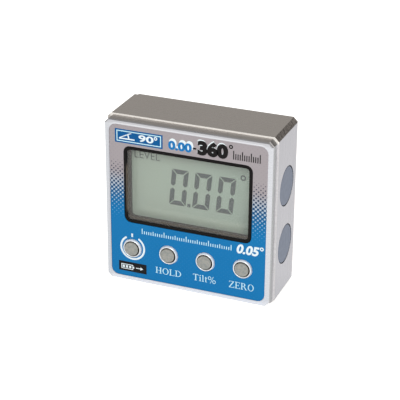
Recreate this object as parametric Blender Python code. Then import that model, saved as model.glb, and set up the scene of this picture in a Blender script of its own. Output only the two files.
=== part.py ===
"""Digital angle gauge: a square aluminium instrument with a display, four keys and magnetic edges.

Units are metres. X runs to the right, Y runs from the front to the back, Z runs up.
The origin lies under the middle of the gauge, on the face that it stands on.
"""

import math

import bmesh
import bpy

MM = 0.001

# Housing: a block with 45-degree corners, open at the front and the back.
BODY_WIDTH = 60.0 * MM
BODY_HEIGHT = 60.0 * MM
BODY_DEPTH = 18.8 * MM
CORNER_CHAMFER = 1.5 * MM
EDGE_BREAK = 0.15 * MM
WALL_SIDE = 3.5 * MM
WALL_TOP = 3.0 * MM
CAVITY_RADIUS = 2.0 * MM

# Front bezel and back cover: plates a little smaller than the block, which stand proud of it.
STEP_INSET = 0.6 * MM
BEZEL_PROUD = 3.8 * MM
COVER_PROUD = 2.4 * MM
RIM_ROUND = 0.45 * MM
COVER_EDGE = 0.3 * MM
COVER_RELIEF = 0.4 * MM
SPIGOT_LENGTH = 1.5 * MM
SPIGOT_WALL = 1.0 * MM

# Seals between the block and its two plates.
SEAL_INSET = 1.1 * MM
SEAL_WIDTH = 1.0 * MM
SEAL_THICKNESS = 0.5 * MM
SEAL_RADIUS = 1.6 * MM

# Printed label in its recess.
RIM_WIDTH = 1.6 * MM
LABEL_RADIUS = 2.5 * MM
LABEL_THICKNESS = 0.25 * MM
LABEL_SET_BACK = 0.1 * MM
FRONT_WALL = 1.5 * MM
KEY_WALL = 2.65 * MM

# Window: margins from the outside of the block, and from the key row, to the black seal round the pane.
WINDOW_SIDE = 7.4 * MM
WINDOW_TOP = 9.6 * MM
WINDOW_ABOVE_KEYS = 9.65 * MM
WINDOW_RADIUS = 2.2 * MM
WINDOW_SEAL_WIDTH = 1.0 * MM
PANE_THICKNESS = 1.0 * MM
PANE_SET_BACK = 0.2 * MM
PANE_LEDGE = 0.5 * MM

# Liquid crystal cell: a front glass with contact ledges and a smaller rear glass.
CELL_DEPTH = 4.3 * MM
CELL_BORDER = 1.7 * MM
CELL_GLASS = 1.0 * MM
CONTACT_LEDGE = 2.0 * MM
CONTACT_STRIP = 1.6 * MM
CONTACT_HEIGHT = 3.1 * MM
CARRIER_WALL = 0.8 * MM
CARRIER_PLATE = 1.0 * MM

# Circuit board.
BOARD_THICKNESS = 1.6 * MM
BOARD_GAP = 0.4 * MM
BOARD_NOTCH = 1.0 * MM

# Keys: metal caps in raised collars.
KEY_NAMES = ("power", "hold", "tilt", "zero")
KEY_SIDE = 10.1 * MM
KEY_HEIGHT = 13.15 * MM
KEY_TRAVEL = 0.4 * MM
KEY_STOP_GAP = 0.15 * MM
CAP_DIAMETER = 5.2 * MM
CAP_PROUD = 0.9 * MM
CAP_CROWN = 0.12 * MM
CAP_EDGE = 0.25 * MM
CAP_FLANGE = 0.75 * MM
COLLAR_DIAMETER = 6.6 * MM
COLLAR_PROUD = 0.7 * MM
COLLAR_ROUND = 0.3 * MM
COLLAR_EDGE = 0.1 * MM

# Silicone key mat with a nub over each switch.
MAT_THICKNESS = 0.8 * MM
MAT_MARGIN = 3.45 * MM
NUB_DIAMETER = 2.8 * MM
NUB_GAP = 0.3 * MM
NUB_CLEARANCE = 0.9 * MM

# Tact switches.
SWITCH_SIZE = 4.5 * MM
SWITCH_HEIGHT = 1.8 * MM
SWITCH_CORNER = 0.4 * MM
PLUNGER_DIAMETER = 2.2 * MM
PLUNGER_HEIGHT = 0.7 * MM

# Charging socket in the left wall.
SOCKET_WIDTH = 7.5 * MM
SOCKET_THICKNESS = 2.6 * MM
SOCKET_LENGTH = 5.6 * MM
SOCKET_SHELL = 0.35 * MM
SOCKET_BACK = 1.2 * MM
SOCKET_CHAMFER = 0.7 * MM
SOCKET_CORNER = 0.3 * MM
SOCKET_MARGIN = 0.45 * MM
SOCKET_SET_BACK = 0.5 * MM
TONGUE_WIDTH = 3.6 * MM
TONGUE_THICKNESS = 0.6 * MM
TONGUE_SET_BACK = 0.8 * MM
SLOT_RADIUS = 0.5 * MM

# Magnets, two in each of three edges; the lower ones stand just above the charging socket.
MAGNET_DIAMETER = 13.4 * MM
MAGNET_THICKNESS = 2.5 * MM
MAGNET_EDGE = 0.2 * MM
MAGNET_PITCH = 21.15 * MM
MAGNET_ABOVE_SOCKET = 0.25 * MM
MAGNET_SET_BACK = 0.05 * MM

# Screws: countersunk in the cover, pan heads inside.
COVER_SCREW_DIAMETER = 2.5 * MM
COVER_SCREW_LENGTH = 8.0 * MM
COVER_HEAD_DIAMETER = 4.7 * MM
COVER_HEAD_RIM = 0.25 * MM
COVER_BOSS_LENGTH = 6.5 * MM
SMALL_SCREW_DIAMETER = 1.6 * MM
SMALL_HEAD_DIAMETER = 3.2 * MM
SMALL_HEAD_HEIGHT = 1.1 * MM
SMALL_HEAD_TAPER = 0.5 * MM
SCREW_TIP_GAP = 0.4 * MM
POST_DIAMETER = 3.5 * MM
POST_BITE = 0.35 * MM
WEB_THICKNESS = 2.4 * MM
WEB_MARGIN = 2.2 * MM
RECESS_SHARE = 0.62
RECESS_WIDTH = 0.55 * MM
RECESS_DEPTH = 0.6 * MM

# Parts on the back of the board, and the battery on the cover.
CHIP_SIZE = 10.0 * MM
CHIP_HEIGHT = 1.2 * MM
SENSOR_SIZE = 8.0 * MM
SENSOR_HEIGHT = 1.6 * MM
CHIP_CORNER = 0.5 * MM
CHIP_OFFSET = 11.0 * MM
BATTERY_WIDTH = 32.0 * MM
BATTERY_HEIGHT = 26.0 * MM
BATTERY_THICKNESS = 5.0 * MM
BATTERY_ROUND = 1.2 * MM
BATTERY_RISE = 5.0 * MM
PAD_THICKNESS = 0.5 * MM
PAD_MARGIN = 2.0 * MM
PLUG_WIDTH = 5.4 * MM
PLUG_HEIGHT = 3.6 * MM
PLUG_DEPTH = 3.0 * MM
PLUG_DROP = 6.0 * MM
LEAD_DIAMETER = 0.9 * MM
LEAD_PITCH = 2.0 * MM
LEAD_POINTS = 10

# Clearances.
FIT_GAP = 0.25 * MM
CAP_GAP = 0.2 * MM
LABEL_GAP = 0.15 * MM
THREAD_GAP = 0.25 * MM
SOLDER_GAP = 0.1 * MM
GLUE_GAP = 0.05 * MM
OVERLAP = 0.5 * MM
LEAST_CORNER = 0.2 * MM
WELD = 0.0002 * MM

# Facets of round pieces: keys, magnets and collars, then the screws in the cover, then small inner pieces.
ROUND_STEPS = 32
COVER_SCREW_STEPS = 20
SMALL_STEPS = 12
CORNER_STEPS = 4
SMOOTH_ANGLE = 32

# Turns that point a piece's front at the right edge, the left edge and the bottom.
RIGHT = (0, 0, math.radians(90))
LEFT = (0, 0, math.radians(-90))
DOWN = (math.radians(90), 0, 0)

# Places along the depth, from the front to the back.
TOTAL_DEPTH = CAP_PROUD + BEZEL_PROUD + BODY_DEPTH + COVER_PROUD
RIM_FRONT = CAP_PROUD - TOTAL_DEPTH / 2
BODY_FRONT = RIM_FRONT + BEZEL_PROUD
BODY_BACK = BODY_FRONT + BODY_DEPTH
BODY_MIDDLE = (BODY_FRONT + BODY_BACK) / 2
COVER_BACK = BODY_BACK + COVER_PROUD
COVER_INSIDE = BODY_BACK + COVER_RELIEF
SPIGOT_END = BODY_FRONT + SPIGOT_LENGTH
COLLAR_FRONT = RIM_FRONT - COLLAR_PROUD
LABEL_FRONT = RIM_FRONT + LABEL_SET_BACK
RECESS_FLOOR = LABEL_FRONT + LABEL_THICKNESS + GLUE_GAP
POCKET_FLOOR = RECESS_FLOOR + FRONT_WALL
SCREW_HOLE_END = POCKET_FLOOR + OVERLAP
KEY_FLOOR = RECESS_FLOOR + KEY_WALL
MAT_FRONT = KEY_FLOOR + FIT_GAP
MAT_BACK = MAT_FRONT + MAT_THICKNESS
CARRIER_FRONT = POCKET_FLOOR + FIT_GAP
CARRIER_PLATE_FRONT = MAT_BACK + FIT_GAP
CELL_FRONT = LABEL_FRONT + CELL_DEPTH
BOARD_FRONT = CELL_FRONT + CELL_GLASS + CONTACT_HEIGHT + 2 * SOLDER_GAP
BOARD_BACK = BOARD_FRONT + BOARD_THICKNESS
CARRIER_BACK = BOARD_FRONT - FIT_GAP
LUG_BACK = BOARD_FRONT - SOLDER_GAP
SWITCH_TOP = BOARD_FRONT - SOLDER_GAP - SWITCH_HEIGHT - PLUNGER_HEIGHT
WEB_FRONT = SPIGOT_END + FIT_GAP
WEB_BACK = WEB_FRONT + WEB_THICKNESS
BOSS_BACK = BODY_BACK - SPIGOT_LENGTH - FIT_GAP
BATTERY_BACK = COVER_INSIDE - PAD_THICKNESS - 2 * GLUE_GAP

# Places across the front.
CAVITY_HALF = BODY_WIDTH / 2 - WALL_SIDE
CAVITY_BOTTOM = WALL_SIDE
CAVITY_TOP = BODY_HEIGHT - WALL_TOP
INNER_HALF = CAVITY_HALF - FIT_GAP - SPIGOT_WALL
INNER_BOTTOM = CAVITY_BOTTOM + FIT_GAP + SPIGOT_WALL
INNER_TOP = CAVITY_TOP - FIT_GAP - SPIGOT_WALL
WINDOW_HALF = BODY_WIDTH / 2 - WINDOW_SIDE
WINDOW_BOTTOM = KEY_HEIGHT + WINDOW_ABOVE_KEYS
WINDOW_HIGH = BODY_HEIGHT - WINDOW_TOP
CELL_HALF = WINDOW_HALF - WINDOW_SEAL_WIDTH + CELL_BORDER
CELL_LOW = WINDOW_BOTTOM + WINDOW_SEAL_WIDTH - CELL_BORDER
CELL_HIGH = WINDOW_HIGH - WINDOW_SEAL_WIDTH + CELL_BORDER
CARRIER_HALF = CELL_HALF + FIT_GAP + CARRIER_WALL
CARRIER_LOW = CELL_LOW - FIT_GAP - CARRIER_WALL
CARRIER_HIGH = CELL_HIGH + FIT_GAP + CARRIER_WALL
KEY_FIRST = KEY_SIDE - BODY_WIDTH / 2
KEY_PITCH = -2 * KEY_FIRST / (len(KEY_NAMES) - 1)
KEY_PLACES = [KEY_FIRST + index * KEY_PITCH for index in range(len(KEY_NAMES))]
KEY_GAP_HALF = -KEY_FIRST - KEY_PITCH / 2
POST_HALF = INNER_HALF - POST_DIAMETER / 2 + POST_BITE
POST_HIGH = CARRIER_HIGH + FIT_GAP + WEB_MARGIN
POST_FROM_KEYS = MAT_MARGIN + FIT_GAP + POST_DIAMETER / 2
POST_LOW = KEY_HEIGHT - POST_FROM_KEYS
BEZEL_SCREW_PLACES = [
    (-POST_HALF, POST_HIGH),
    (POST_HALF, POST_HIGH),
    (-KEY_GAP_HALF, POST_LOW),
    (KEY_GAP_HALF, POST_LOW),
]
UPPER_BOARD_SCREWS = [(-KEY_GAP_HALF, POST_HIGH), (KEY_GAP_HALF, POST_HIGH)]
LOWER_BOARD_SCREWS = [(side * KEY_GAP_HALF, KEY_HEIGHT + POST_FROM_KEYS) for side in (-1, 1)]
BOARD_SCREW_PLACES = UPPER_BOARD_SCREWS + LOWER_BOARD_SCREWS
COVER_SCREW_HALF = INNER_HALF - COVER_SCREW_DIAMETER / 2 - 2 * THREAD_GAP
COVER_SCREW_LOW = INNER_BOTTOM + COVER_SCREW_DIAMETER / 2 + 2 * THREAD_GAP
COVER_SCREW_HIGH = INNER_TOP - COVER_SCREW_DIAMETER / 2 - 2 * THREAD_GAP
COVER_SCREW_PLACES = [
    (side * COVER_SCREW_HALF, height)
    for height in (COVER_SCREW_HIGH, COVER_SCREW_LOW)
    for side in (-1, 1)
]
SOCKET_HEIGHT = CAVITY_BOTTOM + SOCKET_MARGIN + SOCKET_WIDTH / 2
MAGNET_LOW = SOCKET_HEIGHT + SOCKET_WIDTH / 2 + MAGNET_ABOVE_SOCKET + MAGNET_DIAMETER / 2
SOCKET_Y = BOARD_FRONT - SOLDER_GAP - SOCKET_THICKNESS / 2


def clear_scene():
    for item in list(bpy.data.objects):
        bpy.data.objects.remove(item, do_unlink=True)


def finish(name, colour, roughness, metallic=0.0, transmission=0.0):
    """Principled material for one kind of surface."""
    material = bpy.data.materials.get(name) or bpy.data.materials.new(name)
    material.use_nodes = True
    shader = material.node_tree.nodes["Principled BSDF"]
    shader.inputs["Base Color"].default_value = (*colour, 1.0)
    shader.inputs["Roughness"].default_value = roughness
    shader.inputs["Metallic"].default_value = metallic
    shader.inputs["Transmission Weight"].default_value = transmission
    material.diffuse_color = (*colour, 1.0)
    return material


def add_object(name, mesh_data, location=(0, 0, 0), rotation=(0, 0, 0)):
    piece = bpy.data.objects.new(name, mesh_data)
    bpy.context.scene.collection.objects.link(piece)
    piece.location = location
    piece.rotation_euler = rotation
    return piece


def to_object(name, form, location=(0, 0, 0), rotation=(0, 0, 0)):
    bmesh.ops.recalc_face_normals(form, faces=form.faces)
    mesh_data = bpy.data.meshes.new(name)
    form.to_mesh(mesh_data)
    form.free()
    return add_object(name, mesh_data, location, rotation)


def dress(piece, material, smooth=False):
    """Give a piece its one material, and smooth shading where it is round."""
    piece.data.materials.clear()
    piece.data.materials.append(material)
    if smooth:
        piece.data.shade_smooth()
        piece.data.set_sharp_from_angle(angle=math.radians(SMOOTH_ANGLE))
    return piece


def chamfered_outline(half_width, bottom, top, chamfer):
    """Rectangle with four 45-degree corners, as (x, z) points."""
    return [
        (chamfer - half_width, bottom),
        (half_width - chamfer, bottom),
        (half_width, bottom + chamfer),
        (half_width, top - chamfer),
        (half_width - chamfer, top),
        (chamfer - half_width, top),
        (-half_width, top - chamfer),
        (-half_width, bottom + chamfer),
    ]


def rounded_outline(half_width, bottom, top, radius):
    """Rectangle with four round corners, as (x, z) points."""
    centres = [
        (radius - half_width, bottom + radius, 180),
        (half_width - radius, bottom + radius, 270),
        (half_width - radius, top - radius, 0),
        (radius - half_width, top - radius, 90),
    ]
    points = []
    for x, z, start in centres:
        for step in range(CORNER_STEPS + 1):
            angle = math.radians(start + 90 * step / CORNER_STEPS)
            points.append((x + radius * math.cos(angle), z + radius * math.sin(angle)))
    return points


def cross_outline(reach, width):
    """Cross-shaped outline of a screw's recess."""
    near = width / 2
    return [
        (-near, -reach), (near, -reach), (near, -near), (reach, -near), (reach, near), (near, near),
        (near, reach), (-near, reach), (-near, near), (-reach, near), (-reach, -near), (-near, -near),
    ]


def prism(name, outline, front, back, front_edge=0.0, back_edge=0.0, edge_steps=1, **place):
    """Outline in the XZ plane, extruded along Y, with its end edges bevelled."""
    form = bmesh.new()
    cap = form.faces.new([form.verts.new((x, front, z)) for x, z in outline])
    grown = bmesh.ops.extrude_face_region(form, geom=[cap])
    moved = [item for item in grown["geom"] if isinstance(item, bmesh.types.BMVert)]
    bmesh.ops.translate(form, vec=(0, back - front, 0), verts=moved)
    for level, width in ((front, front_edge), (back, back_edge)):
        if width > 0:
            rim = [edge for edge in form.edges if all(abs(vert.co.y - level) < 1e-6 for vert in edge.verts)]
            bmesh.ops.bevel(
                form, geom=rim, offset=width, offset_type="OFFSET", affect="EDGES",
                segments=edge_steps, profile=0.5, clamp_overlap=True, material=-1,
            )
    return to_object(name, form, **place)


def turned(name, profile, steps=ROUND_STEPS, **place):
    """Profile of (radius, y) points, from the axis back to the axis, spun round Y."""
    form = bmesh.new()
    verts = [form.verts.new((radius, y, 0)) for radius, y in profile]
    edges = [form.edges.new(pair) for pair in zip(verts, verts[1:])]
    bmesh.ops.spin(
        form, geom=verts + edges, cent=(0, 0, 0), axis=(0, 1, 0),
        angle=2 * math.pi, steps=steps, use_merge=True,
    )
    bmesh.ops.remove_doubles(form, verts=form.verts, dist=WELD)
    return to_object(name, form, **place)


def rod(name, diameter, front, back, steps=ROUND_STEPS, **place):
    radius = diameter / 2
    return turned(name, [(0, front), (radius, front), (radius, back), (0, back)], steps, **place)


def combine(piece, tools, operation):
    """Apply one exact Boolean with tools that stand clear of each other, then drop them."""
    bpy.context.view_layer.update()
    form = bmesh.new()
    for single in tools:
        single.data.transform(single.matrix_world)
        form.from_mesh(single.data)
        bpy.data.objects.remove(single, do_unlink=True)
    tool = to_object("tool", form)
    modifier = piece.modifiers.new(operation.lower(), "BOOLEAN")
    modifier.operation = operation
    modifier.solver = "EXACT"
    modifier.object = tool
    evaluated = piece.evaluated_get(bpy.context.evaluated_depsgraph_get())
    form = bmesh.new()
    form.from_mesh(evaluated.data)
    bmesh.ops.remove_doubles(form, verts=form.verts, dist=WELD)
    bmesh.ops.dissolve_degenerate(form, edges=form.edges, dist=WELD)
    piece.modifiers.clear()
    form.to_mesh(piece.data)
    form.free()
    bpy.data.objects.remove(tool, do_unlink=True)
    return piece


def cut(piece, *tools):
    return combine(piece, tools, "DIFFERENCE")


def join(piece, *tools):
    return combine(piece, tools, "UNION")


def inset(outline_maker, half_width, bottom, top, corner, distance):
    """Outline moved inwards by a distance; its corner size shrinks with it but never to nothing."""
    return outline_maker(
        half_width - distance, bottom + distance, top - distance, max(corner - distance, LEAST_CORNER)
    )


# Finishes.
ALUMINIUM = finish("aluminium_milled", (0.55, 0.54, 0.52), 0.38, 1.0)
BRIGHT = finish("aluminium_bright", (0.78, 0.78, 0.78), 0.3, 1.0)
CAP_METAL = finish("cap_metal", (0.5, 0.48, 0.45), 0.4, 1.0)
PRINT = finish("label_print", (0.02, 0.2, 0.5), 0.45)
BLACK_RUBBER = finish("black_rubber", (0.015, 0.014, 0.013), 0.6)
SILICONE = finish("gray_silicone", (0.3, 0.3, 0.31), 0.6)
DARK_PLASTIC = finish("dark_plastic", (0.06, 0.05, 0.045), 0.5)
CLEAR = finish("clear_pane", (0.95, 0.97, 0.96), 0.05, 0.0, 0.9)
CELL = finish("display_glass", (0.33, 0.4, 0.35), 0.15)
BOARD_GREEN = finish("board_green", (0.01, 0.14, 0.05), 0.45)
STEEL = finish("screw_steel", (0.6, 0.6, 0.6), 0.3, 1.0)
NICKEL = finish("magnet_nickel", (0.2, 0.23, 0.28), 0.35, 0.6)
CHIP_BLACK = finish("chip_black", (0.02, 0.02, 0.02), 0.5)
POUCH = finish("battery_pouch", (0.6, 0.6, 0.58), 0.35, 0.8)
FOAM = finish("foam_pad", (0.7, 0.7, 0.66), 0.9)
WHITE_PLASTIC = finish("white_plastic", (0.8, 0.78, 0.72), 0.5)
RED_WIRE = finish("red_wire", (0.5, 0.02, 0.02), 0.5)
BLACK_WIRE = finish("black_wire", (0.02, 0.02, 0.02), 0.5)


def body_housing():
    """Milled block with its cavity, screw webs, magnet pockets and charging slot."""
    outline = chamfered_outline(BODY_WIDTH / 2, 0, BODY_HEIGHT, CORNER_CHAMFER)
    body = prism("body_housing", outline, BODY_FRONT, BODY_BACK, EDGE_BREAK, EDGE_BREAK)
    cavity = rounded_outline(CAVITY_HALF, CAVITY_BOTTOM, CAVITY_TOP, CAVITY_RADIUS)
    cut(body, prism("cavity", cavity, BODY_FRONT - OVERLAP, BODY_BACK + OVERLAP))
    boss_front = BOSS_BACK - COVER_BOSS_LENGTH
    webs = [web_block(x, z, WEB_FRONT, WEB_BACK, WEB_MARGIN) for x, z in BEZEL_SCREW_PLACES]
    for x, z in COVER_SCREW_PLACES:
        webs.append(web_block(x, z, boss_front, BOSS_BACK, COVER_SCREW_DIAMETER))
    join(body, *webs)
    holes = []
    for x, z in BEZEL_SCREW_PLACES:
        holes.append(screw_hole(x, z, SMALL_SCREW_DIAMETER, WEB_FRONT - OVERLAP, WEB_BACK + OVERLAP))
    for x, z in COVER_SCREW_PLACES:
        holes.append(screw_hole(x, z, COVER_SCREW_DIAMETER, boss_front - OVERLAP, BOSS_BACK + OVERLAP))
    depth = MAGNET_SET_BACK + MAGNET_THICKNESS + GLUE_GAP
    for location, rotation in magnet_places(0):
        place = {"location": location, "rotation": rotation}
        holes.append(rod("pocket", MAGNET_DIAMETER + 2 * CAP_GAP, -OVERLAP, depth, **place))
    half = SOCKET_THICKNESS / 2 + FIT_GAP
    reach = SOCKET_WIDTH / 2 + FIT_GAP
    slot = rounded_outline(half, -reach, reach, SLOT_RADIUS)
    place = {"location": (-BODY_WIDTH / 2, SOCKET_Y, SOCKET_HEIGHT), "rotation": LEFT}
    holes.append(prism("slot", slot, -OVERLAP, WALL_SIDE + CAVITY_RADIUS, **place))
    cut(body, *holes)
    return dress(body, ALUMINIUM, smooth=True)


def web_block(x, z, front, back, margin):
    """Block round a screw that reaches into the nearest cavity walls."""
    side = math.copysign(CAVITY_HALF + OVERLAP, x)
    high = z > BODY_HEIGHT / 2
    edge = CAVITY_TOP + OVERLAP if high else CAVITY_BOTTOM - OVERLAP
    bottom, top = (z - margin, edge) if high else (edge, z + margin)
    reaches_side = abs(x) + 2 * margin > CAVITY_HALF
    inner = x - math.copysign(margin, x)
    outer = side if reaches_side else x + math.copysign(margin, x)
    left, right = sorted((inner, outer))
    return prism("web", [(left, bottom), (right, bottom), (right, top), (left, top)], front, back)


def screw_hole(x, z, diameter, front, back):
    return rod("hole", diameter + 2 * THREAD_GAP, front, back, SMALL_STEPS, location=(x, 0, z))


def magnet_places(set_back):
    """Place and turn of the six magnets: the outer face lies set_back below the edge's surface."""
    places = []
    side = BODY_WIDTH / 2 - set_back
    for step in (1, 0):
        height = MAGNET_LOW + step * MAGNET_PITCH
        places.append(((side, BODY_MIDDLE, height), RIGHT))
        places.append(((-side, BODY_MIDDLE, height), LEFT))
        places.append((((0.5 - step) * MAGNET_PITCH, BODY_MIDDLE, set_back), DOWN))
    return places


def magnets():
    names = (
        "magnet_right_upper", "magnet_left_upper", "magnet_bottom_left",
        "magnet_right_lower", "magnet_left_lower", "magnet_bottom_right",
    )
    radius = MAGNET_DIAMETER / 2
    profile = [
        (0, 0), (radius - MAGNET_EDGE, 0), (radius, MAGNET_EDGE),
        (radius, MAGNET_THICKNESS), (0, MAGNET_THICKNESS),
    ]
    first = dress(turned("magnet", profile), NICKEL, smooth=True)
    for name, (location, rotation) in zip(names, magnet_places(MAGNET_SET_BACK)):
        add_object(name, first.data, location, rotation)
    bpy.data.objects.remove(first, do_unlink=True)


def seal_outline(distance):
    half = BODY_WIDTH / 2 - STEP_INSET - SEAL_INSET
    low = STEP_INSET + SEAL_INSET
    return inset(rounded_outline, half, low, BODY_HEIGHT - low, SEAL_RADIUS + SEAL_WIDTH, distance)


def seal_ring(name, front, back, gap):
    """Flat ring; a positive gap widens it on both sides, for the groove that it lies in."""
    ring = prism(name, seal_outline(-gap), front, back)
    return cut(ring, prism("inner", seal_outline(SEAL_WIDTH + gap), front - OVERLAP, back + OVERLAP))


def seal_groove(surface, direction):
    depth = SEAL_THICKNESS + FIT_GAP
    front, back = sorted((surface - direction * OVERLAP, surface + direction * depth))
    return seal_ring("groove", front, back, CAP_GAP)


def seals():
    front = BODY_FRONT - SOLDER_GAP - SEAL_THICKNESS
    dress(seal_ring("front_gasket", front, front + SEAL_THICKNESS, 0), BLACK_RUBBER)
    back = BODY_BACK + SOLDER_GAP
    dress(seal_ring("back_gasket", back, back + SEAL_THICKNESS, 0), BLACK_RUBBER)


def plate_outline():
    return chamfered_outline(
        BODY_WIDTH / 2 - STEP_INSET, STEP_INSET, BODY_HEIGHT - STEP_INSET, CORNER_CHAMFER
    )


def spigot_outline():
    return rounded_outline(
        CAVITY_HALF - FIT_GAP, CAVITY_BOTTOM + FIT_GAP, CAVITY_TOP - FIT_GAP, CAVITY_RADIUS
    )


def label_outline(gap):
    margin = STEP_INSET + RIM_WIDTH + gap
    half = BODY_WIDTH / 2 - margin
    return rounded_outline(half, margin, BODY_HEIGHT - margin, LABEL_RADIUS - gap)


def window_outline(distance):
    return inset(rounded_outline, WINDOW_HALF, WINDOW_BOTTOM, WINDOW_HIGH, WINDOW_RADIUS, distance)


def front_bezel():
    """Stepped front plate: label recess, window, key collars, screw posts and a spigot."""
    bezel = prism("front_bezel", plate_outline(), RIM_FRONT, BODY_FRONT, RIM_ROUND, 0.0, 3)
    join(bezel, prism("spigot", spigot_outline(), BODY_FRONT - OVERLAP, SPIGOT_END))
    cut(bezel, prism("recess", label_outline(0), RIM_FRONT - OVERLAP, RECESS_FLOOR))
    step_height = CARRIER_LOW - FIT_GAP
    inner_radius = CAVITY_RADIUS - SPIGOT_WALL
    upper = rounded_outline(INNER_HALF, step_height, INNER_TOP, inner_radius)
    cut(bezel, prism("upper_pocket", upper, POCKET_FLOOR, SPIGOT_END + OVERLAP))
    lower = rounded_outline(INNER_HALF, INNER_BOTTOM, INNER_TOP, inner_radius)
    cut(bezel, prism("lower_pocket", lower, KEY_FLOOR, SPIGOT_END + OVERLAP))
    groups = (
        (BEZEL_SCREW_PLACES + UPPER_BOARD_SCREWS, SPIGOT_END - SOLDER_GAP),
        (LOWER_BOARD_SCREWS, CARRIER_PLATE_FRONT - FIT_GAP),
    )
    raised = [key_collar(x) for x in KEY_PLACES]
    holes = [key_throat(x) for x in KEY_PLACES]
    for places, end in groups:
        for x, z in places:
            post = (POST_DIAMETER, POCKET_FLOOR - OVERLAP, end, SMALL_STEPS)
            raised.append(rod("post", *post, location=(x, 0, z)))
            holes.append(screw_hole(x, z, SMALL_SCREW_DIAMETER, SCREW_HOLE_END, end + OVERLAP))
    holes.append(prism("window", window_outline(-CAP_GAP), RIM_FRONT - OVERLAP, POCKET_FLOOR + OVERLAP))
    join(bezel, *raised)
    cut(bezel, *holes)
    cut(bezel, seal_groove(BODY_FRONT, -1))
    return dress(bezel, BRIGHT, smooth=True)


def key_collar(x):
    """Raised collar round one key."""
    outer = COLLAR_DIAMETER / 2
    base = RECESS_FLOOR + OVERLAP
    rise = LABEL_FRONT - COLLAR_FRONT
    profile = [(0, COLLAR_FRONT)]
    for angle in (math.radians(90), math.radians(60), math.radians(30), 0.0):
        reach = outer - COLLAR_ROUND * (1 - math.cos(angle))
        profile.append((reach, LABEL_FRONT - rise * math.sin(angle)))
    profile += [(outer, base), (0, base)]
    return turned("collar", profile, location=(x, 0, KEY_HEIGHT))


def key_throat(x):
    """Guide hole of one key, with the counterbore that holds the cap's flange."""
    guide = CAP_DIAMETER / 2 + CAP_GAP
    bore = CAP_DIAMETER / 2 + CAP_FLANGE + FIT_GAP
    start = COLLAR_FRONT - OVERLAP
    profile = [
        (0, start), (guide + COLLAR_EDGE + OVERLAP, start), (guide, COLLAR_FRONT + COLLAR_EDGE),
        (guide, POCKET_FLOOR), (bore, POCKET_FLOOR), (bore, KEY_FLOOR + OVERLAP), (0, KEY_FLOOR + OVERLAP),
    ]
    return turned("throat", profile, location=(x, 0, KEY_HEIGHT))


def front_label():
    """Printed foil with openings for the window and the four collars."""
    label = prism("front_label", label_outline(GLUE_GAP), LABEL_FRONT, LABEL_FRONT + LABEL_THICKNESS)
    ends = (LABEL_FRONT - OVERLAP, RECESS_FLOOR)
    hole = COLLAR_DIAMETER + 2 * LABEL_GAP
    holes = [rod("hole", hole, *ends, location=(x, 0, KEY_HEIGHT)) for x in KEY_PLACES]
    cut(label, prism("window", window_outline(-LABEL_GAP), *ends), *holes)
    return dress(label, PRINT)


def window_parts():
    """Black seal with a ledge, and the clear pane that lies on the ledge."""
    seal = prism("window_gasket", window_outline(0), LABEL_FRONT, POCKET_FLOOR, EDGE_BREAK)
    pane_front = LABEL_FRONT + PANE_SET_BACK
    ledge_front = pane_front + PANE_THICKNESS + GLUE_GAP
    cut(seal, prism("rebate", window_outline(WINDOW_SEAL_WIDTH), LABEL_FRONT - OVERLAP, ledge_front))
    ledge = window_outline(WINDOW_SEAL_WIDTH + PANE_LEDGE)
    cut(seal, prism("view", ledge, LABEL_FRONT - OVERLAP, POCKET_FLOOR + OVERLAP))
    dress(seal, BLACK_RUBBER)
    outline = window_outline(WINDOW_SEAL_WIDTH + LABEL_GAP)
    dress(prism("window_pane", outline, pane_front, pane_front + PANE_THICKNESS), CLEAR)


def box_outline(half_width, bottom, top):
    return [(-half_width, bottom), (half_width, bottom), (half_width, top), (-half_width, top)]


def display_cell():
    """Liquid crystal cell: the front glass overhangs the rear glass at the top and the bottom."""
    outline = box_outline(CELL_HALF, CELL_LOW, CELL_HIGH)
    glass = prism("lcd_glass", outline, CELL_FRONT, CELL_FRONT + CELL_GLASS)
    rear = box_outline(CELL_HALF - FIT_GAP, CELL_LOW + CONTACT_LEDGE, CELL_HIGH - CONTACT_LEDGE)
    join(glass, prism("rear", rear, CELL_FRONT + CELL_GLASS / 2, CELL_FRONT + 2 * CELL_GLASS))
    dress(glass, CELL)
    front = CELL_FRONT + CELL_GLASS + SOLDER_GAP
    half = CELL_HALF - CONTACT_LEDGE / 2
    margin = (CONTACT_LEDGE - CONTACT_STRIP) / 2
    upper = box_outline(half, CELL_HIGH - margin - CONTACT_STRIP, CELL_HIGH - margin)
    dress(prism("contact_strip_upper", upper, front, front + CONTACT_HEIGHT), SILICONE)
    lower = box_outline(half, CELL_LOW + margin, CELL_LOW + margin + CONTACT_STRIP)
    dress(prism("contact_strip_lower", lower, front, front + CONTACT_HEIGHT), SILICONE)


def lug_outline(x, z, root):
    """Round-ended lug that stands on a wall: its sides run down to the root."""
    radius = POST_DIAMETER / 2
    arc = [math.radians(180 * step / SMALL_STEPS) for step in range(SMALL_STEPS + 1)]
    points = [(x + radius * math.cos(angle), z + radius * math.sin(angle)) for angle in arc]
    return [(x - radius, root), (x + radius, root)] + points


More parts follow.
